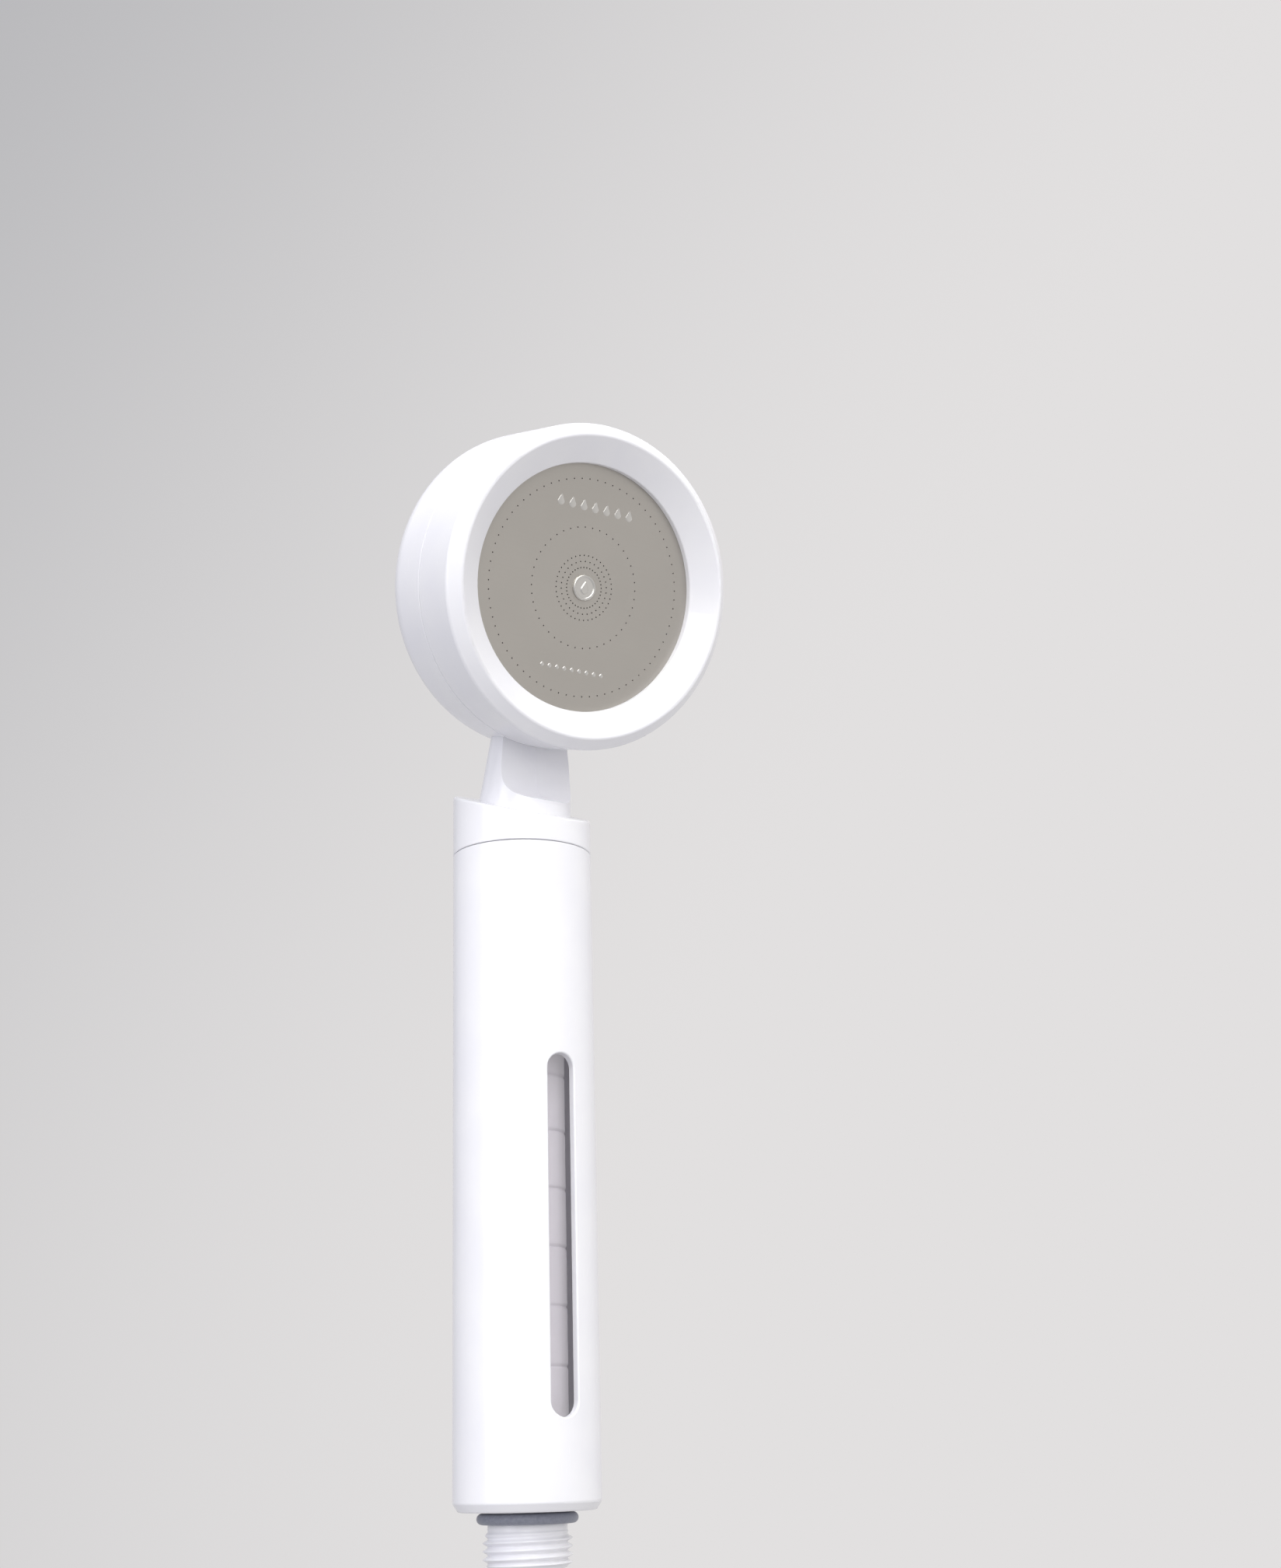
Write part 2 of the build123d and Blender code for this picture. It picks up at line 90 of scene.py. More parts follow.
def add(tree, kind, links=None, **settings):
    """Add a node, set its properties or inputs by name, and link sockets into its inputs."""
    made = tree.nodes.new(kind)

    def socket(key):
        if isinstance(key, int):
            return made.inputs[key]
        wanted = key.replace("_", " ").lower()
        return next(s for s in made.inputs if s.enabled and s.name.lower() == wanted)

    for key, value in settings.items():
        if hasattr(made, key):
            setattr(made, key, value)
        else:
            socket(key).default_value = value
    for key, source in (links or {}).items():
        tree.links.new(source, socket(key))
    return made


def material(name):
    """An empty node material, its tree and its output node."""
    made = bpy.data.materials.new(name)
    made.use_nodes = True
    made.node_tree.nodes.clear()
    output = made.node_tree.nodes.new("ShaderNodeOutputMaterial")
    return made, made.node_tree, output


def mesh_object(name, points, faces, crease=35):
    """A welded, smooth mesh at the origin, with edges sharper than the crease angle kept sharp."""
    mesh = bpy.data.meshes.new(name)
    mesh.from_pydata(np.asarray(points).reshape(-1, 3).tolist(), [], np.asarray(faces).tolist())
    body = bmesh.new()
    body.from_mesh(mesh)
    bmesh.ops.remove_doubles(body, verts=body.verts, dist=2e-7)
    bmesh.ops.recalc_face_normals(body, faces=body.faces)
    body.to_mesh(mesh)
    body.free()
    mesh.shade_smooth()
    mesh.set_sharp_from_angle(angle=radians(crease))
    made = bpy.data.objects.new(name, mesh)
    bpy.context.collection.objects.link(made)
    return made


def grid_faces(rows, columns, wrap_rows=False, wrap_columns=True):
    """Quads between neighbouring points of a rows x columns grid, wrapped where asked."""
    last_row = rows if wrap_rows else rows - 1
    last_column = columns if wrap_columns else columns - 1
    i, j = np.meshgrid(np.arange(last_row), np.arange(last_column), indexing="ij")
    k, n = (i + 1) % rows, (j + 1) % columns
    corners = [i * columns + j, i * columns + n, k * columns + n, k * columns + j]
    return np.stack(corners, axis=-1).reshape(-1, 4)


def lathe(outline, turns=96):
    """Surface of revolution: each (radius, height) point swept round Z at equal angles."""
    r, z = np.asarray(outline, float).T[:, :, None]
    angle = np.arange(turns) / turns * 2 * pi
    return np.stack([r * np.cos(angle), r * np.sin(angle), z + 0 * angle], axis=-1)


def paper_finish():
    """Paper that only glows and takes no shadow, with painted shade darker towards one upper corner."""
    made, tree, output = material("glowing_paper")
    place = add(tree, "ShaderNodeTexCoord").outputs["Object"]
    turned = add(tree, "ShaderNodeMapping", {"Vector": place})
    turned.inputs["Rotation"].default_value = (0, radians(FADE_TURN), 0)
    across = add(tree, "ShaderNodeSeparateXYZ", {0: turned.outputs[0]})
    blend = add(
        tree,
        "ShaderNodeMapRange",
        {0: across.outputs["X"]},
        interpolation_type="SMOOTHSTEP",
        From_Min=FADE_FROM,
        From_Max=FADE_TO,
    )
    tone = add(tree, "ShaderNodeMix", {"Factor": blend.outputs[0]}, data_type="RGBA")
    tone.inputs[6].default_value = linear(BACKDROP_SHADED)
    tone.inputs[7].default_value = linear(BACKDROP_PALE)
    glow = add(tree, "ShaderNodeEmission", {"Color": tone.outputs[2]}, Strength=1.0)
    tree.links.new(glow.outputs[0], output.inputs[0])
    return made


cove = np.linspace(-pi / 2, 0, 24)
wall_x = BACKDROP_R - COVE_R
backdrop_outline = [(0.0, FLOOR_Z), (0.8, FLOOR_Z)]
backdrop_outline += [
    (wall_x + COVE_R * np.cos(a), FLOOR_Z + COVE_R + COVE_R * np.sin(a)) for a in cove
]
backdrop_outline += [(BACKDROP_R, WALL_TOP)]
backdrop_points = lathe(backdrop_outline)
backdrop = mesh_object("backdrop", backdrop_points, grid_faces(len(backdrop_outline), 96))
backdrop.data.materials.append(paper_finish())

sky = bpy.data.worlds.new("room")
bpy.context.scene.world = sky
sky.use_nodes = True
sky.node_tree.nodes["Background"].inputs[0].default_value = linear("E8EAF0")
sky.node_tree.nodes["Background"].inputs[1].default_value = 1.0


def soft_box(name, place, aim, width, height, power, colour):
    """A rectangular area light at a place, turned to face a point; sizes in metres."""
    lamp = bpy.data.lights.new(name, "AREA")
    lamp.shape = "RECTANGLE"
    lamp.size, lamp.size_y = width, height
    lamp.energy = power
    lamp.color = linear(colour)[:3]
    made = bpy.data.objects.new(name, lamp)
    bpy.context.collection.objects.link(made)
    made.location = place
    way = np.subtract(aim, place)
    made.rotation_euler = (
        float(np.arctan2(np.hypot(way[0], way[1]), -way[2])),
        0.0,
        float(np.arctan2(-way[0], way[1])),
    )


MIDDLE = (0, -0.01, 0.14)
soft_box("key_light", (-0.75, -1.25, 0.75), MIDDLE, 0.9, 1.5, 13.5, "FFFEFC")
soft_box("side_light", (-1.4, -0.1, 0.5), MIDDLE, 0.6, 1.4, 6, "F4F4FF")
soft_box("top_light", (-0.15, -0.6, 1.4), MIDDLE, 1.2, 1.2, 12, "FFFFFF")

# ------------------------------------------------------------ outer sleeve
# The sleeve is injection-moulded white ABS, polished in the tool: bright and
# slightly cool, with a faint orange-peel ripple and hairline handling marks.

RIPPLE_SIZE = 1.6
RIPPLE_DEPTH = 0.0012
HAIRLINE_WIDTH = 0.12


def scale_of(size_mm):
    """Texture scale that gives features of a size in millimetres on Object coordinates."""
    return 1.0 / (size_mm * MM)


def gloss_abs():
    """Polished white ABS, IOR 1.53: ripple as bump, hairlines and haze in the roughness."""
    made, tree, output = material("gloss_white_abs")
    place = add(tree, "ShaderNodeTexCoord").outputs["Object"]
    ripple = add(
        tree, "ShaderNodeTexNoise", {"Vector": place}, Scale=scale_of(RIPPLE_SIZE), Detail=2.0
    )
    bump = add(
        tree,
        "ShaderNodeBump",
        {"Height": ripple.outputs["Fac"]},
        Strength=1.0,
        Distance=RIPPLE_DEPTH * MM,
    )
    long = add(tree, "ShaderNodeMapping", {"Vector": place})
    long.inputs["Rotation"].default_value = (0.2, 0.35, 0.6)
    long.inputs["Scale"].default_value = (1.0, 1.0, 0.03)
    hairs = add(
        tree,
        "ShaderNodeTexNoise",
        {"Vector": long.outputs[0]},
        Scale=scale_of(HAIRLINE_WIDTH),
        Detail=3.0,
    )
    haze = add(tree, "ShaderNodeTexNoise", {"Vector": place}, Scale=scale_of(14), Detail=3.0)
    marks = add(
        tree, "ShaderNodeMapRange", {0: hairs.outputs["Fac"]}, From_Min=0.62, From_Max=0.75, To_Max=0.1
    )
    soft = add(tree, "ShaderNodeMapRange", {0: haze.outputs["Fac"]}, To_Min=0.15, To_Max=0.27)
    rough = add(tree, "ShaderNodeMath", {0: soft.outputs[0], 1: marks.outputs[0]}, operation="ADD")
    tint = add(
        tree, "ShaderNodeMapRange", {0: haze.outputs["Fac"]}, From_Min=0.3, From_Max=0.7
    )
    colour = add(tree, "ShaderNodeMix", {"Factor": tint.outputs[0]}, data_type="RGBA")
    colour.inputs[6].default_value = linear("EFEFF4")
    colour.inputs[7].default_value = linear("F3F3F6")
    shell = add(
        tree,
        "ShaderNodeBsdfPrincipled",
        {"Normal": bump.outputs[0], "Roughness": rough.outputs[0], "Base_Color": colour.outputs[2]},
        IOR=1.53,
    )
    tree.links.new(shell.outputs[0], output.inputs[0])
    return made


def dress(finish, *names):
    """Give CAD nodes one finish."""
    for name in names:
        piece = frame["nodes"][name]
        piece.data.materials.clear()
        piece.data.materials.append(finish)


white_abs = gloss_abs()
dress(white_abs, "handle_sleeve")

# --------------------------------------------------------- pressure tube
# An extruded clear polycarbonate tube lies behind the slot and holds the
# water pressure. It shows as a thin glossy skin with faint lengthways draw
# lines, and it seats on a flat ring of translucent silicone.

TUBE_HAZE_GLOW = 0.008
TUBE_IOR = 1.586


def clear_tube_finish():
    """Clear polycarbonate: see-through with a faint haze painted as a glow, Fresnel gloss and draw
    lines along Z.
    """
    made, tree, output = material("clear_polycarbonate")
    place = add(tree, "ShaderNodeTexCoord").outputs["Object"]
    drawn = add(tree, "ShaderNodeMapping", {"Vector": place})
    drawn.inputs["Scale"].default_value = (1.0, 1.0, 0.02)
    lines = add(
        tree, "ShaderNodeTexNoise", {"Vector": drawn.outputs[0]}, Scale=scale_of(0.8), Detail=2.0
    )
    bump = add(tree, "ShaderNodeBump", {"Height": lines.outputs["Fac"]}, Distance=0.002 * MM)
    side = add(tree, "ShaderNodeNewGeometry").outputs["Backfacing"]
    index = add(tree, "ShaderNodeMapRange", {0: side}, To_Min=TUBE_IOR, To_Max=1 / TUBE_IOR)
    facing = add(tree, "ShaderNodeFresnel", {"Normal": bump.outputs[0], "IOR": index.outputs[0]})
    clear = add(tree, "ShaderNodeBsdfTransparent", Color=(0.95, 0.94, 0.95, 1.0))
    # Painted light: the haze is a faint glow that no lamp lights.
    haze = add(tree, "ShaderNodeEmission", Color=linear("C6C4D6"), Strength=TUBE_HAZE_GLOW)
    body = add(tree, "ShaderNodeAddShader", {0: clear.outputs[0], 1: haze.outputs[0]})
    gloss = add(tree, "ShaderNodeBsdfGlossy", {"Normal": bump.outputs[0]}, Roughness=0.06)
    both = add(
        tree, "ShaderNodeMixShader", {0: facing.outputs[0], 1: body.outputs[0], 2: gloss.outputs[0]}
    )
    tree.links.new(both.outputs[0], output.inputs[0])
    return made


def mottled(name, dark, pale, roughness, grain_mm, depth_mm, **more):
    """A moulded or rubbery finish: two near tones and a bump, both from noise of one grain size."""
    made, tree, output = material(name)
    place = add(tree, "ShaderNodeTexCoord").outputs["Object"]
    grain = add(
        tree, "ShaderNodeTexNoise", {"Vector": place}, Scale=scale_of(grain_mm), Detail=4.0
    )
    spread = add(tree, "ShaderNodeMapRange", {0: grain.outputs["Fac"]}, From_Min=0.3, From_Max=0.7)
    colour = add(tree, "ShaderNodeMix", {"Factor": spread.outputs[0]}, data_type="RGBA")
    colour.inputs[6].default_value = linear(dark)
    colour.inputs[7].default_value = linear(pale)
    sheen = add(
        tree,
        "ShaderNodeMapRange",
        {0: grain.outputs["Fac"]},
        To_Min=roughness - 0.08,
        To_Max=roughness + 0.08,
    )
    bump = add(tree, "ShaderNodeBump", {"Height": grain.outputs["Fac"]}, Distance=depth_mm * MM)
    shell = add(
        tree,
        "ShaderNodeBsdfPrincipled",
        {"Base_Color": colour.outputs[2], "Roughness": sheen.outputs[0], "Normal": bump.outputs[0]},
        **more,
    )
    tree.links.new(shell.outputs[0], output.inputs[0])
    return made


dress(clear_tube_finish(), "clear_tube")
silicone = mottled("white_silicone", "D8DAD8", "E9EAE6", 0.42, 0.9, 0.01, IOR=1.41)
dress(silicone, "tube_gasket", "plate_gasket")

# -------------------------------------------------------- hose connector
# The hose screws onto a white ABS plug with a G 1/2 thread: 55 degree flanks,
# rounded crests and roots, 1.814 mm apart, cut as one right-hand helix that
# runs out at both ends. Above it the plug screws up into the handle.

THREAD_PITCH = 1.8143
THREAD_MAJOR_R = 10.4775
THREAD_MINOR_R = 9.3155
THREAD_LOW = 0.35
THREAD_HIGH = 8.3
THREAD_POINTS = 12
THREAD_TURNS = 144
PLUG_CREST_R = 11.3
PLUG_ROOT_R = 10.0
PLUG_PITCH = 2.0
PLUG_TOP = 25.0
PLUG_WAIST_R = 9.35
SEAL_GROOVE_R = 9.74
SEAL_GROOVE_LOW, SEAL_GROOVE_HIGH = 22.1, 23.9
PLUG_BORE_R = 6.0
SCREEN_POCKET_R = 7.2
SCREEN_POCKET_TOP = 6.5


def thread_grid():
    """Helical ridge: z = (row / points per turn + angle / 2 pi) x pitch, cut off at both ends,
    and radius = root + depth x a triangle wave of the row that fades in within one pitch."""
    turns = int((THREAD_HIGH - THREAD_LOW) / THREAD_PITCH) + 3
    row = np.arange(-THREAD_POINTS, turns * THREAD_POINTS + 1)[:, None]
    part = np.arange(THREAD_TURNS + 1)[None, :] / THREAD_TURNS
    z = THREAD_LOW + (row / THREAD_POINTS + part) * THREAD_PITCH
    z = np.clip(z, THREAD_LOW, THREAD_HIGH)
    from_crest = np.abs((row % THREAD_POINTS) / THREAD_POINTS * 2 - 1)
    ridge = np.clip((0.86 - from_crest) / 0.74, 0, 1)
    ridge = 0.75 * ridge + 0.25 * ridge * ridge * (3 - 2 * ridge)
    ends = np.clip((z - THREAD_LOW) / (0.4 * THREAD_PITCH), 0, 1)
    ends = ends * np.clip((THREAD_HIGH - z) / THREAD_PITCH, 0, 1)
    r = THREAD_MINOR_R + (THREAD_MAJOR_R - THREAD_MINOR_R) * ridge * ends
    angle = part * 2 * pi
    points = np.stack([r * np.cos(angle), r * np.sin(angle), z], axis=-1)
    faces = grid_faces(*z.shape, wrap_columns=False)
    heights = z.reshape(-1)[faces]
    kept = (heights.max(1) > THREAD_LOW + 1e-6) & (heights.min(1) < THREAD_HIGH - 1e-6)
    return points.reshape(-1, 3), faces[kept]


def plug_outline():
    """Cross-section of the rest of the plug, from the thread's top round the bore to its foot."""
    outline = [(THREAD_MINOR_R, THREAD_HIGH), (PLUG_WAIST_R, 8.7), (PLUG_WAIST_R, 12.5)]
    for k in range(4):
        z = 12.8 + k * PLUG_PITCH
        outline += [(PLUG_ROOT_R, z - 0.35), (PLUG_CREST_R, z), (PLUG_CREST_R, z + 0.5)]
        outline += [(PLUG_ROOT_R, z + 1.1)]
    outline += [(PLUG_CREST_R, 21.4), (PLUG_CREST_R, SEAL_GROOVE_LOW)]
    outline += [(SEAL_GROOVE_R, SEAL_GROOVE_LOW), (SEAL_GROOVE_R, SEAL_GROOVE_HIGH)]
    outline += [(PLUG_CREST_R, SEAL_GROOVE_HIGH), (PLUG_CREST_R, PLUG_TOP - 0.5)]
    outline += [(PLUG_CREST_R - 0.5, PLUG_TOP), (PLUG_BORE_R + 0.2, PLUG_TOP)]
    outline += [(PLUG_BORE_R, PLUG_TOP - 0.2), (PLUG_BORE_R, SCREEN_POCKET_TOP)]
    outline += [(SCREEN_POCKET_R, SCREEN_POCKET_TOP), (SCREEN_POCKET_R, 0.25)]
    outline += [(SCREEN_POCKET_R + 0.25, 0.0), (8.95, 0.0)]
    return outline + [(THREAD_MINOR_R, THREAD_LOW)]


def joined(*parts):
    """Points and faces of several meshes as one pair, each part's faces shifted past the last."""
    points, faces, total = [], [], 0
    for part_points, part_faces in parts:
        flat = np.asarray(part_points).reshape(-1, 3)
        points.append(flat)
        faces.append(np.asarray(part_faces) + total)
        total += len(flat)
    return np.concatenate(points), np.concatenate(faces)


plug = plug_outline()
plug_rings = lathe(plug, THREAD_TURNS)
plug_faces = grid_faces(len(plug), THREAD_TURNS)
points, faces = joined(thread_grid(), (plug_rings, plug_faces))
threaded_plug = mesh_object("threaded_plug", points * MM, faces)
threaded_plug.data.materials.append(white_abs)
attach(threaded_plug, "connector")
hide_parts("hose_connector")

# ------------------------------------------------- rings, screen, limiter
# EPDM rubber rings are moulded, so they carry a dull bloom. The strainer in
# the inlet is punched stainless sheet, and the flow limiter behind it is
# moulded green acetal.

epdm = mottled("grey_epdm_rubber", "7F828F", "8E919E", 0.40, 0.6, 0.006, IOR=1.5)
dress(epdm, "hose_o_ring", "plug_o_ring", "spigot_o_ring", "ring_o_ring", "filter_top_seal")
acetal = mottled("green_acetal", "4E9470", "5BA57E", 0.36, 1.2, 0.004, IOR=1.48)
dress(acetal, "flow_regulator")


GRAIN_STRETCH = (0.04, 1.0, 1.0)


def brushed_steel(name, colour, grain_mm, low, high):
    """Stainless steel: fine grain drawn out along X as roughness and a very shallow bump."""
    made, tree, output = material(name)
    place = add(tree, "ShaderNodeTexCoord").outputs["Object"]
    drawn = add(tree, "ShaderNodeMapping", {"Vector": place})
    drawn.inputs["Scale"].default_value = GRAIN_STRETCH
    grain = add(
        tree, "ShaderNodeTexNoise", {"Vector": drawn.outputs[0]}, Scale=scale_of(grain_mm), Detail=4.0
    )
    rough = add(tree, "ShaderNodeMapRange", {0: grain.outputs["Fac"]}, To_Min=low, To_Max=high)
    bump = add(tree, "ShaderNodeBump", {"Height": grain.outputs["Fac"]}, Distance=0.0015 * MM)
    cloud = add(tree, "ShaderNodeTexNoise", {"Vector": place}, Scale=scale_of(22), Detail=2.0)
    tint = add(tree, "ShaderNodeMix", {"Factor": cloud.outputs["Fac"]}, data_type="RGBA")
    lin = np.array(linear(colour))
    tint.inputs[6].default_value = (*(lin[:3] * 0.95), 1.0)
    tint.inputs[7].default_value = (*(lin[:3] * 1.05), 1.0)
    shell = add(
        tree,
        "ShaderNodeBsdfPrincipled",
        {"Roughness": rough.outputs[0], "Normal": bump.outputs[0], "Base_Color": tint.outputs[2]},
        Metallic=1.0,
    )
    tree.links.new(shell.outputs[0], output.inputs[0])
    return made


fine_steel = brushed_steel("punched_stainless", "C9C8C5", 0.15, 0.24, 0.36)
dress(fine_steel, "inlet_screen", "distributor_screws")

# ------------------------------------------------------ filter cartridge
# The sediment filter is melt-spun polypropylene fibre in rings of equal length,
# pressed end to end on a moulded core between two caps. Its skin is matt,
# felted and lightly creased, and each joint between rings shows as a seam.

MEDIA_R = 10.0
MEDIA_LOW, MEDIA_HIGH = 31.0, 148.0
MEDIA_RING = 13.8
MEDIA_CORE_R = 5.3
SEAM_DEPTH = 0.3
FELT_DEPTH = 0.05
# The fleece glows as painted light, though it is no lamp; at each seam the glow drops as painted shade
# in the crease.
FLEECE_PAINTED_GLOW = 0.24
SEAM_SHADED_GLOW = 0.14
SEAM_WIDTH = 0.9


def media_grid(rows=420, columns=120):
    """Cylinder whose radius drops by a bell curve at each seam and is felted by mixed sine waves."""
    z = np.linspace(MEDIA_LOW, MEDIA_HIGH, rows)[:, None]
    angle = np.arange(columns)[None, :] / columns * 2 * pi
    from_seam = np.mod(z - MEDIA_LOW + MEDIA_RING / 2, MEDIA_RING) - MEDIA_RING / 2
    seam = np.exp(-((from_seam / 0.35) ** 2))
    felt = np.sin(7 * angle + 1.9 * z) * np.sin(1.3 * z + 3 * angle)
    felt = felt + 0.6 * np.sin(17 * angle - 2.7 * z) * np.sin(0.7 * z)
    r = MEDIA_R - FELT_DEPTH - SEAM_DEPTH * seam + 0.5 * FELT_DEPTH * felt
    x, y = r * np.cos(angle), r * np.sin(angle)
    return np.stack([x, y, z + 0 * angle], axis=-1)


def fleece_finish():
    """Matt fibre with a painted glow standing in for light through the slot, dimmed within a seam width
    of each seam as painted shade.
    """
    made, tree, output = material("spun_polypropylene")
    place = add(tree, "ShaderNodeTexCoord").outputs["Object"]
    wound = add(tree, "ShaderNodeMapping", {"Vector": place})
    wound.inputs["Scale"].default_value = (1.0, 1.0, 2.5)
    fibres = add(
        tree, "ShaderNodeTexNoise", {"Vector": wound.outputs[0]}, Scale=scale_of(0.35), Detail=6.0
    )
    dust = add(tree, "ShaderNodeTexNoise", {"Vector": place}, Scale=scale_of(9), Detail=3.0)
    bump = add(tree, "ShaderNodeBump", {"Height": fibres.outputs["Fac"]}, Distance=0.08 * MM)
    colour = add(tree, "ShaderNodeMix", {"Factor": dust.outputs["Fac"]}, data_type="RGBA")
    colour.inputs[6].default_value = linear("E2E0E6")
    colour.inputs[7].default_value = linear("EEECF0")
    height = add(tree, "ShaderNodeSeparateXYZ", {0: place}).outputs["Z"]
    above = add(tree, "ShaderNodeMath", {0: height}, operation="SUBTRACT")
    above.inputs[1].default_value = MEDIA_LOW * MM
    from_seam = add(tree, "ShaderNodeMath", {0: above.outputs[0]}, operation="PINGPONG")
    from_seam.inputs[1].default_value = MEDIA_RING / 2 * MM
    # Painted light: glow strength, lower at the seams as painted shade.
    glow = add(
        tree,
        "ShaderNodeMapRange",
        {0: from_seam.outputs[0]},
        From_Max=SEAM_WIDTH * MM,
        To_Min=SEAM_SHADED_GLOW,
        To_Max=FLEECE_PAINTED_GLOW,
    )
    shell = add(
        tree,
        "ShaderNodeBsdfPrincipled",
        {
            "Normal": bump.outputs[0],
            "Base_Color": colour.outputs[2],
            "Emission_Strength": glow.outputs[0],
        },
        Roughness=0.9,
        Sheen_Weight=0.25,
        Emission_Color=linear("EEEEEC"),
    )
    tree.links.new(shell.outputs[0], output.inputs[0])
    return made


skin = media_grid()
core_low = lathe([(MEDIA_CORE_R, MEDIA_LOW)], skin.shape[1])
core_high = lathe([(MEDIA_CORE_R, MEDIA_HIGH)], skin.shape[1])
rings = np.concatenate([core_low, skin, core_high])
faces = grid_faces(rings.shape[0], rings.shape[1], wrap_rows=True)
filter_fleece = mesh_object("filter_fleece", rings * MM, faces)
filter_fleece.data.materials.append(fleece_finish())
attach(filter_fleece, "cartridge")
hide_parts("filter_media")

polypropylene = mottled("moulded_polypropylene", "E4E3DE", "EFEEEA", 0.44, 1.5, 0.008, IOR=1.49)
dress(polypropylene, "filter_core", "filter_top_cap", "filter_bottom_cap", "distributor")

# --------------------------------------------------- spigot, collar, neck
# The head stands on a threaded ABS spigot inside the sleeve. The collar hides
# the joint, and the neck above it is scooped flat at the front, where the two
# halves of the mould left a hairline flash down the middle.

dress(white_abs, "head_spigot", "collar", "neck", "rear_housing")

SCOOP_Y = -7.0
SCOOP_BEND = 190.5
SCOOP_ARC_R = 8.66
FLASH_LOW, FLASH_HIGH = 183.6, 198.2
FLASH_HALF_WIDTH = 0.11
FLASH_HEIGHT = 0.07


def flash_line(steps=40):
    """Half-round bead along the scoop's middle line: straight above the bend, on its arc below."""
    z = np.linspace(FLASH_LOW, FLASH_HIGH, steps)[:, None]
    below = np.clip(SCOOP_BEND - z, 0, None)
    y = SCOOP_Y - SCOOP_ARC_R + np.sqrt(SCOOP_ARC_R**2 - below**2)
    around = np.linspace(0, 2 * pi, 9)[None, :-1]
    fade = np.sin(np.linspace(0, pi, steps))[:, None] ** 0.3
    width = FLASH_HALF_WIDTH * fade * np.cos(around)
    proud = FLASH_HEIGHT * fade * np.sin(around)
    slope = below / SCOOP_ARC_R
    return np.stack([width, y - proud * np.sqrt(1 - slope**2), z + proud * slope], axis=-1)


bead = flash_line()
flash = mesh_object("neck_flash_line", bead * MM, grid_faces(bead.shape[0], bead.shape[1]), 60)
flash.data.materials.append(white_abs)
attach(flash, "head")

# ------------------------------------------------------------ front ring
# The ring screws onto the rear shell with a fine gap between them. It is the
# same polished ABS, bevelled outside and dished inside towards the plate.

dress(white_abs, "front_ring")

# ----------------------------------------------------------- spray plate
# The plate is satin stainless sheet with laser-cut holes. Small marks are
# pressed up from behind: a row of drops above and a row of dots below.

satin = brushed_steel("satin_stainless", "BEBAB3", 0.25, 0.40, 0.52)
dress(satin, "spray_plate")

ring_joint = next(j for j in frame["record"]["behaviour"]["joints"] if j["name"] == "ring_screw")
HEAD_CENTRE = np.array(ring_joint["pos_m"])
HEAD_OUT = np.array(ring_joint["axis"]) / np.linalg.norm(ring_joint["axis"])
HEAD_UP = np.array([0.0, HEAD_OUT[2], -HEAD_OUT[1]])
PLATE_FACE = -0.05
DROP_COUNT, DROP_PITCH, DROP_R, DROP_TALL, DROP_UP = 7, 3.4, 1.05, 2.9, 20.6
DOT_COUNT, DOT_PITCH, DOT_R, DOT_UP = 9, 2.2, 0.6, -21.0
MARK_HEIGHT = 0.17


def on_head(x, up, out):
    """Points given across, up and out from the plate's middle in mm, as places in metres."""
    across = np.array([1.0, 0.0, 0.0])
    local = x[..., None] * across + up[..., None] * HEAD_UP + out[..., None] * HEAD_OUT
    return HEAD_CENTRE + local * MM


def drop_mark(x0, up0, radius, tall, rings=8, columns=28):
    """Domed drop: polar rings whose upper half is drawn up to a point, height 1 - ring squared."""
    ring = np.linspace(0, 1, rings)[:, None]
    angle = np.arange(columns)[None, :] / columns * 2 * pi
    rise = np.clip(np.sin(angle), 0, 1)
    x = radius * ring * np.cos(angle) * (1 - 0.4 * rise)
    up = radius * ring * np.sin(angle) + (tall - 2 * radius) * ring * rise**3
    up = up - (tall - 2 * radius) / 2
    out = PLATE_FACE - 0.02 + MARK_HEIGHT * (1 - ring**2) ** 0.6 + 0 * angle
    points = on_head(x0 + x, up0 + up, out)
    return points, grid_faces(rings, columns)


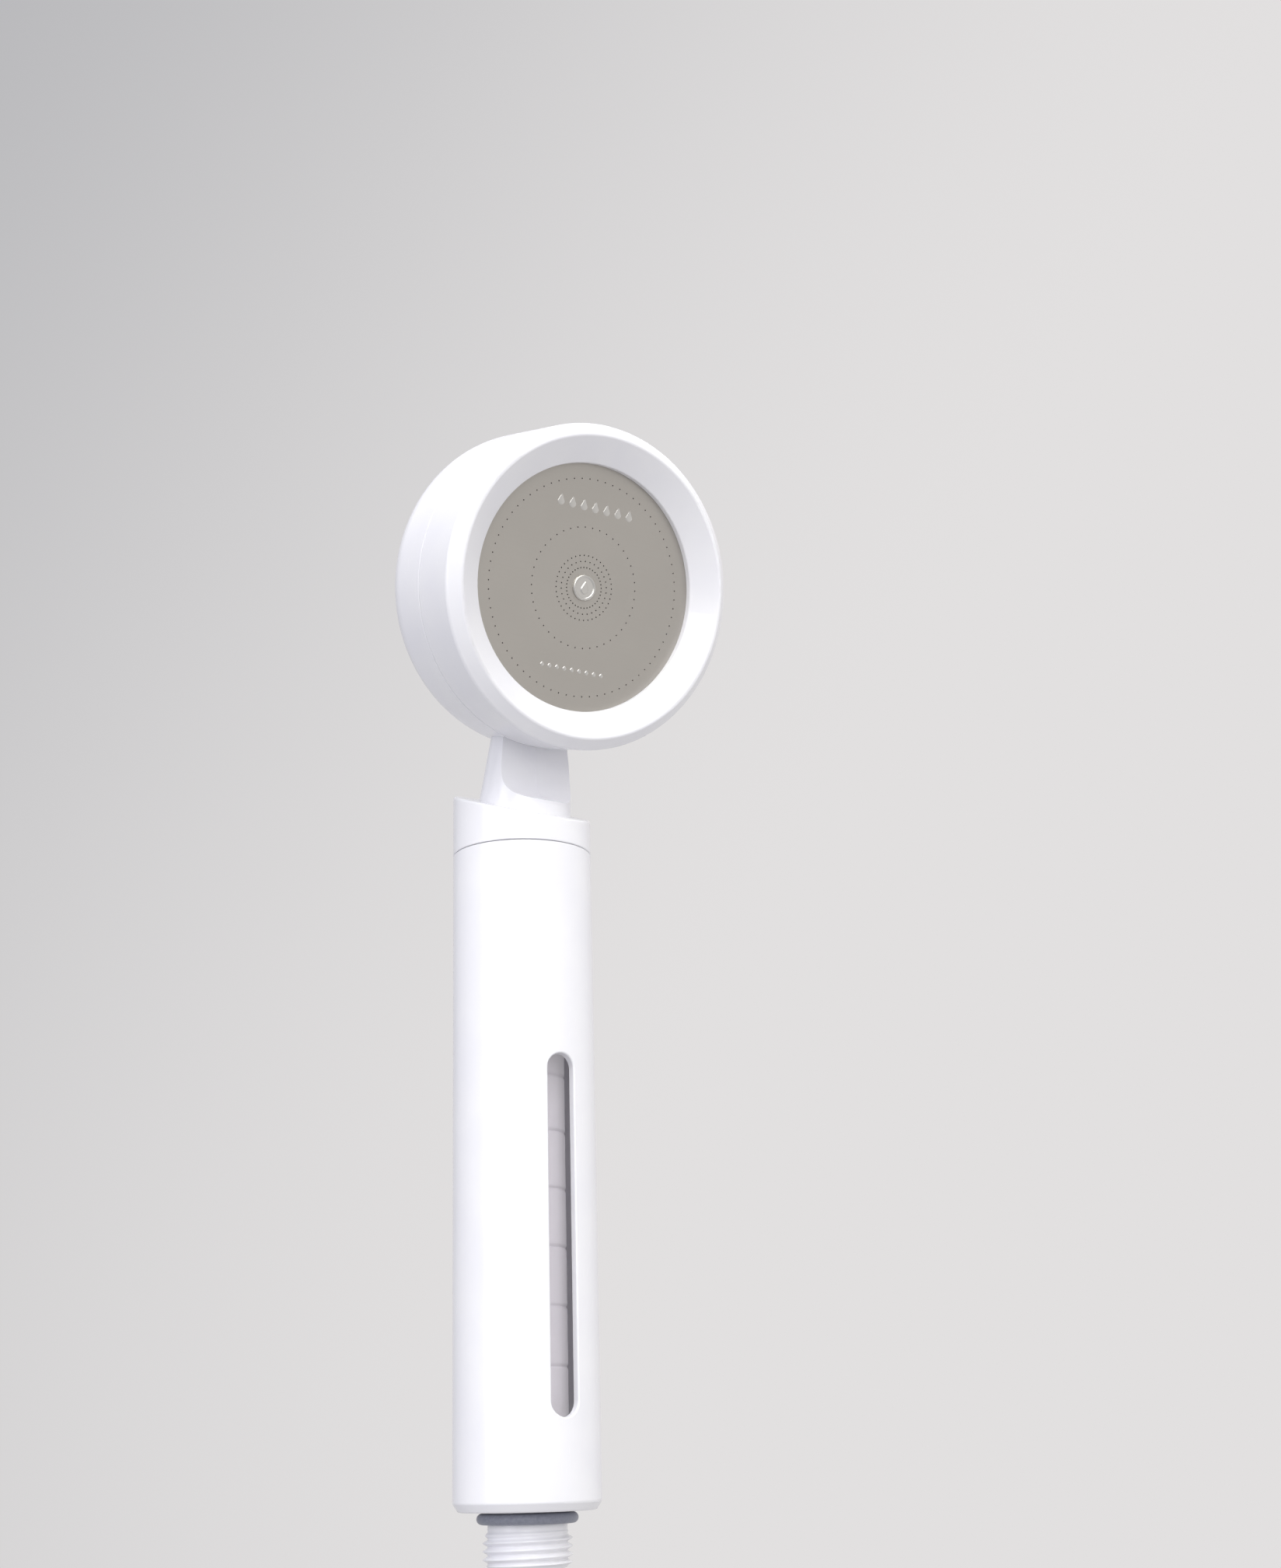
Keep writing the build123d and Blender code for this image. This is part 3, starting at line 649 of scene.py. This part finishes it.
drop_steps = np.arange(DROP_COUNT) - (DROP_COUNT - 1) / 2
drops = [drop_mark(k * DROP_PITCH, DROP_UP, DROP_R, DROP_TALL) for k in drop_steps]
dot_steps = np.arange(DOT_COUNT) - (DOT_COUNT - 1) / 2
dots = [drop_mark(k * DOT_PITCH, DOT_UP, DOT_R, 2 * DOT_R, 5, 14) for k in dot_steps]
points, faces = joined(*drops, *dots)
bright_steel = brushed_steel("pressed_stainless", "D6D4CF", 0.2, 0.26, 0.38)
marks = mesh_object("plate_marks", points, faces, 60)
marks.data.materials.append(bright_steel)
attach(marks, "plate")

# ----------------------------------------------------------- centre badge
# A coined stainless stud is riveted through the plate's middle: a rounded
# rim round a sunk field, with one plain drop standing up in it.

BADGE_R = 3.35
BADGE_TOP = 0.5
FIELD_DEPTH = 0.22
RIM_RING = 0.88
BADGE_RINGS, BADGE_COLUMNS = 64, 120


def badge_grid():
    """Polar height field: a rolled rim, a sunk field, and a drop that rises over 0.3 mm at its edge."""
    ring = np.linspace(0, 1, BADGE_RINGS)[:, None]
    angle = np.arange(BADGE_COLUMNS)[None, :] / BADGE_COLUMNS * 2 * pi
    x, up = BADGE_R * ring * np.cos(angle), BADGE_R * ring * np.sin(angle)
    point = np.clip((up + 0.3) / 2.0, 0, 1)
    width = 1.15 * np.sqrt(np.clip(1 - ((up + 0.5) / 1.15) ** 2, 0, 1))
    width = np.where(up > -0.5, 1.15 * (1 - point) ** 0.8, width)
    inside = np.clip((width - np.abs(x)) / 0.3, 0, 1) * (up > -1.65)
    inside = inside * inside * (3 - 2 * inside)
    rim = np.clip(1 - np.abs(ring - RIM_RING) / (1 - RIM_RING), 0, 1) ** 0.5
    out = BADGE_TOP - FIELD_DEPTH + FIELD_DEPTH * np.maximum(inside, rim * (ring < RIM_RING))
    edge = np.clip((ring - RIM_RING) / (1 - RIM_RING), 0, 1)
    rolled = BADGE_TOP - (BADGE_TOP - PLATE_FACE) * (1 - np.sqrt(1 - edge**2))
    out = np.where(ring >= RIM_RING, rolled, out)
    return on_head(x, up, out)


field = badge_grid()
middle = np.zeros((1, BADGE_COLUMNS))
under = on_head(middle, middle, middle + PLATE_FACE - 0.3)
rings = np.concatenate([field, under])
badge = mesh_object("coined_badge", rings, grid_faces(rings.shape[0], BADGE_COLUMNS), 50)
badge.data.materials.append(bright_steel)
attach(badge, "plate")
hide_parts("centre_badge")
